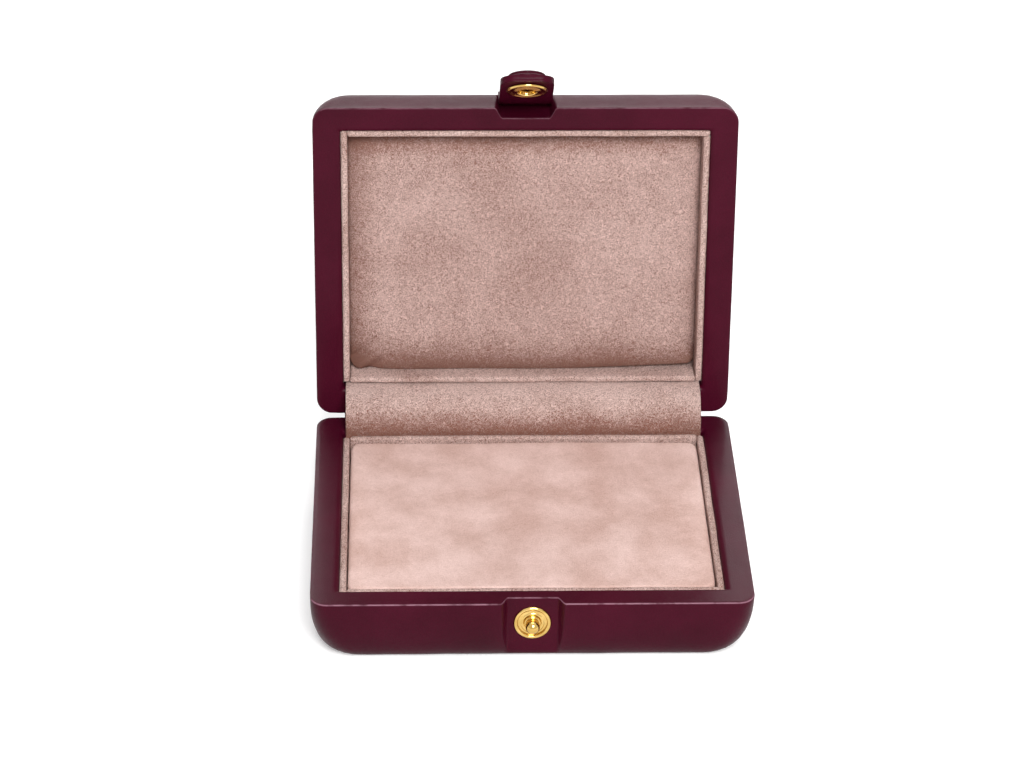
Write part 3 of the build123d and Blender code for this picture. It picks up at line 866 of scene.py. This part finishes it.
def strip_tree():
    """A flat strip that follows a line in the YZ plane, with a gentle waviness."""
    tree, given, result = new_tree("strip_along_line", [
        ("Columns", "NodeSocketInt", 40), ("Waviness", "NodeSocketFloat", 0.0),
        ("Wave Scale", "NodeSocketFloat", 80.0), ("Material", "NodeSocketMaterial", None)])
    nodes, links = tree.nodes, tree.links
    mesh, across, point, width = grid_over_line(tree, given)
    side = nodes.new("ShaderNodeCombineXYZ")
    links.new(math_node(nodes, links, "MULTIPLY", across, width), side.inputs["X"])
    place = vector_node(nodes, links, "ADD", point, side.outputs[0])
    wave = nodes.new("ShaderNodeTexNoise")
    links.new(place, wave.inputs["Vector"])
    links.new(given.outputs["Wave Scale"], wave.inputs["Scale"])
    centred = math_node(nodes, links, "SUBTRACT", wave.outputs[0], 0.5)
    lift = nodes.new("ShaderNodeCombineXYZ")
    links.new(math_node(nodes, links, "MULTIPLY", centred, given.outputs["Waviness"]), lift.inputs["Z"])
    finish_tree(tree, given, result, mesh, vector_node(nodes, links, "ADD", place, lift.outputs[0]))
    return tree


def turned_tree():
    """A turned piece: the line holds (radius, 0, height), and the grid goes once round."""
    tree, given, result = new_tree("turned_from_line", [
        ("Columns", "NodeSocketInt", 97), ("Material", "NodeSocketMaterial", None)])
    nodes, links = tree.nodes, tree.links
    mesh, across, point, _ = grid_over_line(tree, given)
    outline = nodes.new("ShaderNodeSeparateXYZ")
    links.new(point, outline.inputs[0])
    angle = math_node(nodes, links, "MULTIPLY", across, math.pi)
    place = nodes.new("ShaderNodeCombineXYZ")
    for axis, operation in (("X", "COSINE"), ("Y", "SINE")):
        turn = math_node(nodes, links, operation, angle, 0.0)
        links.new(math_node(nodes, links, "MULTIPLY", turn, outline.outputs["X"]), place.inputs[axis])
    links.new(outline.outputs["Z"], place.inputs["Z"])
    finish_tree(tree, given, result, mesh, place.outputs[0])
    return tree


def run_tree(line, tree, values):
    """A nodes modifier on the line's object, with its inputs set by identifier."""
    run = line.modifiers.new("build", "NODES")
    run.node_group = tree
    for socket in tree.interface.items_tree:
        if socket.in_out == "INPUT" and socket.name in values:
            run[socket.identifier] = values[socket.name]


def made_plain(piece):
    """The piece with its modifiers worked into a plain mesh, smooth, closed and facing out."""
    bpy.context.view_layer.update()
    evaluated = piece.evaluated_get(bpy.context.evaluated_depsgraph_get())
    mesh = bpy.data.meshes.new_from_object(evaluated)
    piece.modifiers.clear()
    piece.data = mesh
    work = bmesh.new()
    work.from_mesh(mesh)
    bmesh.ops.remove_doubles(work, verts=work.verts, dist=0.000004)
    bmesh.ops.recalc_face_normals(work, faces=work.faces)
    for face in work.faces:
        face.smooth = True
    work.to_mesh(mesh)
    work.free()
    return piece


STRIP_TREE = strip_tree()
TURNED_TREE = turned_tree()


def strip(name, path, half_widths, thickness, material, columns, waviness=0.0, edge_round=0.4):
    """A strip of leather or suede along a line of (y, z) in millimetres."""
    points = [(0, y * MM, z * MM) for y, z in path]
    piece = line_object(name, points, [half * MM for half in half_widths])
    run_tree(piece, STRIP_TREE, {"Columns": columns, "Waviness": waviness * MM, "Material": material})
    wall = piece.modifiers.new("thickness", "SOLIDIFY")
    wall.thickness = thickness * MM
    wall.offset = 0
    wall.use_even_offset = True
    soften = piece.modifiers.new("edge", "BEVEL")
    soften.width = min(edge_round, 0.42 * thickness) * MM
    soften.segments = 3
    soften.limit_method = "ANGLE"
    soften.angle_limit = math.radians(50)
    return made_plain(piece)


def turned_piece(name, profile, place, material, body):
    """A turned piece from its (radius, height) profile, moved into its place."""
    piece = line_object(name, [(radius * MM, 0, height * MM) for radius, height in profile])
    run_tree(piece, TURNED_TREE, {"Material": material})
    made_plain(piece)
    moved = place(points_of(piece)) * MM
    piece.data.vertices.foreach_set("co", moved.ravel())
    piece.data.update()
    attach(piece, body)
    return piece


def path_normals(path):
    """Unit normals of a line in the YZ plane, on its left."""
    path = np.asarray(path)
    along = np.gradient(path, axis=0)
    along /= np.linalg.norm(along, axis=1, keepdims=True)
    return np.column_stack([-along[:, 1], along[:, 0]])


GUSSET_END_GAP = 0.45
GUSSET_REACH = 7.9
GUSSET_FOLD_AT = 29.0


def gusset_shading(points):
    """Painted shade where the gusset goes down, and painted light where it comes over."""
    down = np.clip((GUSSET_FOLD_AT - points[:, 2]) / 7.5, 0, 1) * (points[:, 1] < HINGE_Y)
    over = np.clip((points[:, 2] - GUSSET_FOLD_AT) / 6.0, 0, 1)
    return 1.7 * down - 0.8 * over


def gusset():
    """The suede strip that rolls over the hinge from one half into the other."""
    radius = HINGE_Y - GUSSET_NEAR - GUSSET / 2
    middle = HINGE_Y - radius
    path = [(middle, HINGE_Z - GUSSET_REACH + GUSSET_REACH * s) for s in np.linspace(0, 1, 9)[:-1]]
    for angle in np.linspace(0, LID_OPEN, 36):
        path.append((HINGE_Y - radius * math.cos(angle), HINGE_Z + radius * math.sin(angle)))
    tail = opened([(0, middle, HINGE_Z + GUSSET_REACH * s) for s in np.linspace(0, 1, 9)[1:]])
    path += [(y, z) for x, y, z in tail]
    piece = strip("gusset", path, [GUSSET_X - GUSSET_END_GAP] * len(path), GUSSET, SUEDE_LINER, 110, 0.9)
    painted_shading(piece, gusset_shading)
    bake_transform(piece)
    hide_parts("gusset_suede")


def spine():
    """The leather strip over both rear walls, folded behind the hinge."""
    height = HALF_HEIGHT - UPRIGHT_WALL
    lift = SPINE_CLEARANCE + SPINE / 2
    down = []
    for depth in np.linspace(SPINE_REACH, SPINE_TOP, 22):
        rise = max(0.0, (depth - UPRIGHT_WALL) / height)
        down.append((REAR - UNDERSIDE_INSET * (1 - math.sqrt(1 - rise * rise)) + lift, -depth))
    base_part = [(y, z + HALF_HEIGHT) for y, z in down]
    lid_part = [(y, z) for x, y, z in in_lid([(0, y, z) for y, z in down])][::-1]
    start, end = np.array(base_part[-1]), np.array(lid_part[0])
    knee = np.array((HINGE_Y, HINGE_Z)) + SPINE_KNEE
    bend = []
    for s in np.linspace(0, 1, 12)[1:-1]:
        bend.append(tuple((1 - s) ** 2 * start + 2 * s * (1 - s) * knee + s * s * end))
    path = base_part + bend + lid_part
    piece = strip("spine", path, [GUSSET_X] * len(path), SPINE, LEATHER_OUT, 80)
    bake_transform(piece)
    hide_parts("spine_leather")


STITCH_GAP = 2.7
STITCH_LENGTH = 0.75
STITCH_THICK = 0.2
STITCH_IN = 0.25
STITCH_SUNK = 0.1
SEAM_END = 3.0


def stitch_tree():
    """A row of short stitches laid at even steps along X."""
    tree, given, result = new_tree("stitch_row", [
        ("Count", "NodeSocketInt", None), ("Start", "NodeSocketVector", None),
        ("Step", "NodeSocketVector", None), ("Size", "NodeSocketVector", None),
        ("Material", "NodeSocketMaterial", None)])
    nodes, links = tree.nodes, tree.links
    row = nodes.new("GeometryNodeMeshLine")
    thread = nodes.new("GeometryNodeMeshUVSphere")
    thread.inputs["Segments"].default_value = 8
    thread.inputs["Rings"].default_value = 6
    thread.inputs["Radius"].default_value = 1.0
    lay = nodes.new("GeometryNodeInstanceOnPoints")
    links.new(given.outputs["Count"], row.inputs["Count"])
    links.new(given.outputs["Start"], row.inputs["Start Location"])
    links.new(given.outputs["Step"], row.inputs["Offset"])
    links.new(row.outputs[0], lay.inputs["Points"])
    links.new(thread.outputs["Mesh"], lay.inputs["Instance"])
    links.new(given.outputs["Size"], lay.inputs["Scale"])
    realized(tree, given, result, lay.outputs[0])
    return tree


def seam_shade_dashes():
    """Dark stitch-shaped dashes behind the base's rear liner: painted shade for the dark gaps between the liner
    and the gusset.
    """
    liner_top = node_box("base_liner_rear_suede")[1]
    count = int(2 * (GUSSET_X - SEAM_END) / STITCH_GAP)
    start = np.array((
        -STITCH_GAP * (count - 1) / 2,
        liner_top[1] - STITCH_IN,
        liner_top[2] + REAR_LINER_RISE - STITCH_SUNK,
    ))
    piece = line_object("seam_shade_dashes", [(0, 0, 0), (0, 0, MM)])
    run_tree(piece, stitch_tree(), {
        "Count": count,
        "Start": list(start * MM),
        "Step": [STITCH_GAP * MM, 0, 0],
        "Size": [STITCH_LENGTH * MM, STITCH_THICK * MM, STITCH_THICK * MM],
        "Material": SEAM_SHADE,
    })
    made_plain(piece)
    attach(piece, "base")


gusset()
spine()
seam_shade_dashes()


# Tab

TAB_HALF = node_box("tab_lining")[1][0]
TAB_LEATHER = 1.2
TAB_LINING = 0.8
TAB = TAB_LEATHER + TAB_LINING
TAB_TIP_CORNER = 4.4
TAB_TIP_REACH = 7.7
TAB_CURL = math.radians(7)
LAYER_SHARE = 0.985
SNAP_HOLE = 2.6
PUNCH_DEPTH = 8.0
SNAP_BELOW_RIM = HALF_HEIGHT - sum(node_box("snap_stud")[side][2] for side in (0, 1)) / 2
RECESS_FLOOR = FRONT + RECESS_DEPTH
FLEX_CLOSED = turned([(0, FLEX_Y, FLEX_Z)], HINGE_Y, HINGE_Z, LID_OPEN)[0]
SNAP_ARM = FLEX_CLOSED[2] - (HALF_HEIGHT - SNAP_BELOW_RIM)
TAB_LENGTH = SNAP_ARM + TAB_TIP_REACH
ROOT_REACH = 12.0
ROOT_TAIL = 2.3
ROOT_RISE = RECESS_FLOOR - FLEX_CLOSED[1] - TAB / 2
ROOT_SMOOTHING = 24
ROOT_SMOOTH_END = 26


def raised(points):
    """From the snapped tab on the closed lid to the raised tab on the open one, curled at the snap."""
    snapped = turned(points, FLEX_CLOSED[1], HALF_HEIGHT - SNAP_BELOW_RIM, TAB_CURL)
    return opened(turned(snapped, FLEX_CLOSED[1], FLEX_CLOSED[2], -TAB_RAISED))


def punched(piece, place, axis, radius, depth):
    """A round hole through a finished piece."""
    cutter_mesh = bpy.data.meshes.new("cutter")
    work = bmesh.new()
    bmesh.ops.create_cone(
        work, cap_ends=True, segments=48, radius1=radius * MM, radius2=radius * MM, depth=depth * MM)
    work.to_mesh(cutter_mesh)
    work.free()
    cutter = bpy.data.objects.new("cutter", cutter_mesh)
    aim = Vector(axis).to_track_quat("Z", "Y").to_matrix().to_4x4()
    cutter.matrix_world = Matrix.Translation(Vector(place) * MM) @ aim
    scene.collection.objects.link(cutter)
    cut = piece.modifiers.new("hole", "BOOLEAN")
    cut.operation = "DIFFERENCE"
    cut.object = cutter
    bpy.context.view_layer.update()
    evaluated = piece.evaluated_get(bpy.context.evaluated_depsgraph_get())
    piece.data = bpy.data.meshes.new_from_object(evaluated)
    piece.modifiers.clear()
    bpy.data.objects.remove(cutter)


def tab_path():
    """The tab's centre line from its root's tail to its tip, its half widths, and the root's count."""
    bend = 2 * math.atan2(ROOT_RISE, ROOT_REACH)
    radius = ROOT_REACH / math.sin(bend)
    start_y, start_z = RECESS_FLOOR - TAB / 2, FLEX_CLOSED[2] + ROOT_REACH
    root = [(0, start_y, start_z + ROOT_TAIL * s) for s in (1.0, 0.66, 0.33)]
    for angle in np.linspace(0, bend, 14)[:-1]:
        root.append((0, start_y - radius * (1 - math.cos(angle)), start_z - radius * math.sin(angle)))
    tip = TAB_LENGTH - TAB_TIP_CORNER
    round_tip = tip + TAB_TIP_CORNER * np.sin(np.linspace(0.12, 1, 10) * math.pi / 2)
    stations = np.concatenate([np.linspace(2.0, tip, 26), round_tip])
    free = [(0, FLEX_CLOSED[1], FLEX_CLOSED[2] - s) for s in stations]
    line = np.concatenate([opened(root), raised(free)])[:, 1:]
    smooth = line.copy()
    end = ROOT_SMOOTH_END
    for _ in range(ROOT_SMOOTHING):
        smooth[1:end] = 0.5 * smooth[1:end] + 0.25 * (smooth[:end - 1] + smooth[2:end + 1])
    widths = [TAB_HALF] * len(root)
    for s in stations:
        past = max(0.0, s - tip)
        widths.append(TAB_HALF - TAB_TIP_CORNER + math.sqrt(max(0.0, TAB_TIP_CORNER ** 2 - past ** 2)))
    return smooth, widths, len(root)


def tab_strip():
    """The tab's two leathers, one over the other, as one strip each."""
    path, widths, root_count = tab_path()
    normals = path_normals(path)
    outward = -1 if normals[-1][1] < 0 else 1
    layers = {
        "tab_leather": (TAB_LEATHER, (TAB - TAB_LEATHER) / 2, ("tab_outer_leather", "tab_root")),
        "tab_lining": (TAB_LINING, -(TAB - TAB_LINING) / 2, ("tab_lining",)),
    }
    hole = tab_points([(0, 0, 0), (0, 0, 1)], 0.0)
    for name, (thickness, shift, nodes) in layers.items():
        line = path + normals * shift * outward
        piece = strip(name, line, widths, thickness * LAYER_SHARE, LEATHER_OUT, 40, 0.06, 0.35)
        punched(piece, hole[0], hole[1] - hole[0], SNAP_HOLE, PUNCH_DEPTH)
        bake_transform(piece)
        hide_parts(*nodes)


# Snap fastener

POST = 2.15
POST_TIP = 4.6
SOCKET = 1.15


def arc(cx, cy, radius, start, end, steps):
    """Points of an arc in (radius, height), angles in degrees."""
    angles = np.radians(np.linspace(start, end, steps))
    return [(cx + radius * math.cos(a), cy + radius * math.sin(a)) for a in angles]


def stud_points(points):
    """From about Z to the base's recess floor, pointing out of the front."""
    points = np.asarray(points)
    height = HALF_HEIGHT - SNAP_BELOW_RIM
    return np.column_stack([points[:, 0], RECESS_FLOOR - points[:, 2], height + points[:, 1]])


def tab_points(points, height):
    """From about Z to the tab at the snap, height out from its mid thickness."""
    points = np.asarray(points)
    snapped = np.column_stack([points[:, 0], FLEX_CLOSED[1] - height - points[:, 2],
                               HALF_HEIGHT - SNAP_BELOW_RIM + points[:, 1]])
    return raised(snapped)


def snap_stud():
    """The stud in the base: a dished flange with a raised ring, and a waisted post."""
    flange, rim, dish = 5.6, 0.85, 0.35
    profile = [(0.0, 0.0), (flange - 0.7, 0.0)]
    profile += arc(flange - 0.65, rim - 0.65, 0.65, -60, 180, 22)
    profile += [(flange - 1.45, dish + 0.05), (3.75, dish)]
    raised_ring = [(3.5, 0.03), (3.35, 0.25), (3.1, 0.32), (2.7, 0.3), (2.45, 0.14)]
    waist = [(2.1, 0.08), (1.9, 0.2), (1.86, 0.5), (1.98, 0.95), (POST, 1.3)]
    profile += [(radius, dish + height) for radius, height in raised_ring + waist]
    profile += arc(0, POST_TIP - POST, POST, 0, 90, 16)
    piece = turned_piece("stud", profile, stud_points, BRASS, "base")
    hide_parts("snap_stud")


def snap_socket():
    """The socket on the tab's lining, with its bore open to the stud."""
    outer, height, bore = 6.2, SOCKET, 2.65
    profile = [(bore, 0.0), (outer - 0.4, 0.0)]
    profile += arc(outer - 0.55, height - 0.6, 0.55, -40, 95, 12)
    profile += [(outer - 1.0, height - 0.12), (outer - 1.5, height - 0.3)]
    profile += [(4.1, height - 0.34), (3.8, height - 0.12)]
    profile += arc(3.2, height - 0.45, 0.45, 60, 180, 8)
    profile += [(bore + 0.02, height - 0.8)]
    profile.append(profile[0])
    piece = turned_piece("socket", profile, lambda p: tab_points(p * (1, 1, -1), -TAB / 2), BRASS, "tab")
    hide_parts("snap_socket")


def snap_cap():
    """The leather-covered cap on the tab's outside, in two steps."""
    profile = [(0.0, 0.0), (6.2, 0.0)] + arc(6.0, 0.5, 0.5, -40, 75, 8) + [(5.95, 1.08)]
    profile += arc(5.2, 1.6, 0.62, -20, 60, 7)
    profile += [(4.6, 2.32), (3.6, 2.58), (2.4, 2.76), (1.2, 2.86), (0.0, 2.9)]
    piece = turned_piece("cap_leather", profile, lambda p: tab_points(p, TAB / 2), LEATHER_OUT, "tab")
    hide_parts("snap_cap_leather")


tab_strip()
snap_stud()
snap_socket()
snap_cap()


# Pieces that stay as the CAD has them get their finish

FINISHES = {
    "brass": BRASS,
    "burgundy_leather": LEATHER_EDGE,
    "rose_suede": SUEDE_LINER,
    "card": CARD,
    "core_wood": WOOD,
    "foam": FOAM,
}
for entry in frame["record"]["subparts"]:
    kept = frame["nodes"][entry["node"]]
    kept.data.materials.clear()
    kept.data.materials.append(FINISHES[entry["material_slot"]])


# Camera: where the photograph was taken from

CAMERA_AT = (-34.9, -847.9, 583.1)
CAMERA_PITCH = 31.41
CAMERA_YAW = 2.0
CAMERA_ROLL = 0.81
FOCAL_PIXELS = 3349.0
PHOTO_WIDTH = 1024
SENSOR = 36.0


def photo_camera():
    """The camera at the photograph's place and angle."""
    pitch, yaw, roll = (math.radians(v) for v in (CAMERA_PITCH, CAMERA_YAW, CAMERA_ROLL))
    forward = Vector((math.sin(yaw) * math.cos(pitch), math.cos(yaw) * math.cos(pitch), -math.sin(pitch)))
    right = Vector((math.cos(yaw), -math.sin(yaw), 0))
    up = right.cross(forward)
    turned_right = math.cos(roll) * right + math.sin(roll) * up
    turned_up = -math.sin(roll) * right + math.cos(roll) * up
    data = bpy.data.cameras.new("camera")
    data.sensor_fit = "HORIZONTAL"
    data.sensor_width = SENSOR
    data.lens = FOCAL_PIXELS / PHOTO_WIDTH * SENSOR
    data.clip_start = 0.01
    camera = bpy.data.objects.new("camera", data)
    columns = Matrix((turned_right, turned_up, -forward)).transposed()
    camera.matrix_world = Matrix.Translation(Vector(CAMERA_AT) * MM) @ columns.to_4x4()
    scene.collection.objects.link(camera)
    scene.camera = camera


photo_camera()


# Floor and light

FILL = 0.14
FLOOR_GLOW = 0.32
FLOOR_REACH = 6.0


def soft_light(name, place, target, size, power, size_y=None):
    """A square or oblong softbox that looks at a target. Places in metres."""
    data = bpy.data.lights.new(name, "AREA")
    data.shape = "RECTANGLE"
    data.size = size
    data.size_y = size_y or size
    data.energy = power
    lamp = bpy.data.objects.new(name, data)
    lamp.location = place
    lamp.rotation_euler = (Vector(target) - Vector(place)).to_track_quat("-Z", "Y").to_euler()
    scene.collection.objects.link(lamp)


def white_rays(nodes, links):
    """1 for the rays that find the background white: to the camera, in gloss and through glass."""
    rays = nodes.new("ShaderNodeLightPath")
    found = rays.outputs["Is Camera Ray"]
    for kind in ("Is Glossy Ray", "Is Transmission Ray"):
        found = math_node(nodes, links, "MAXIMUM", found, rays.outputs[kind])
    return found


def studio_floor():
    """A pale floor that shows white to the camera and in gloss, and keeps the shadow."""
    material = bpy.data.materials.new("studio_floor")
    material.use_nodes = True
    nodes, links = material.node_tree.nodes, material.node_tree.links
    shader = nodes["Principled BSDF"]
    shader.inputs["Base Color"].default_value = (0.8, 0.8, 0.8, 1)
    shader.inputs["Roughness"].default_value = 0.9
    shader.inputs["Specular IOR Level"].default_value = 0.1
    seen = white_rays(nodes, links)
    links.new(math_node(nodes, links, "MULTIPLY", seen, FLOOR_GLOW), shader.inputs["Emission Strength"])
    shader.inputs["Emission Color"].default_value = (1, 1, 1, 1)
    mesh = bpy.data.meshes.new("floor")
    corners = [(FLOOR_REACH * x, FLOOR_REACH * y, 0) for x, y in ((-1, -1), (1, -1), (1, 1), (-1, 1))]
    mesh.from_pydata(corners, [], [(0, 1, 2, 3)])
    mesh.materials.append(material)
    floor = bpy.data.objects.new("floor", mesh)
    floor.location.z = -0.0002
    scene.collection.objects.link(floor)


def studio_world():
    """White to the camera and in gloss, and a soft even fill for everything else."""
    world = bpy.data.worlds.new("studio")
    world.use_nodes = True
    nodes, links = world.node_tree.nodes, world.node_tree.links
    background = nodes["Background"]
    background.inputs["Color"].default_value = (1, 1, 1, 1)
    seen = white_rays(nodes, links)
    strength = math_node(nodes, links, "MULTIPLY", seen, 1 - FILL)
    links.new(math_node(nodes, links, "ADD", strength, FILL), background.inputs["Strength"])
    scene.world = world


studio_floor()
studio_world()
soft_light("key_light", (0.16, -1.05, 0.98), (0, 0, 0.05), 0.6, 26.0)
soft_light("top_light", (0.0, 0.3, 1.3), (0, 0, 0.03), 0.9, 5.0)
soft_light("back_light", (0.0, 1.5, 0.95), (0, 0.06, 0.12), 1.6, 22.0, 0.6)

scene.view_settings.view_transform = "Standard"
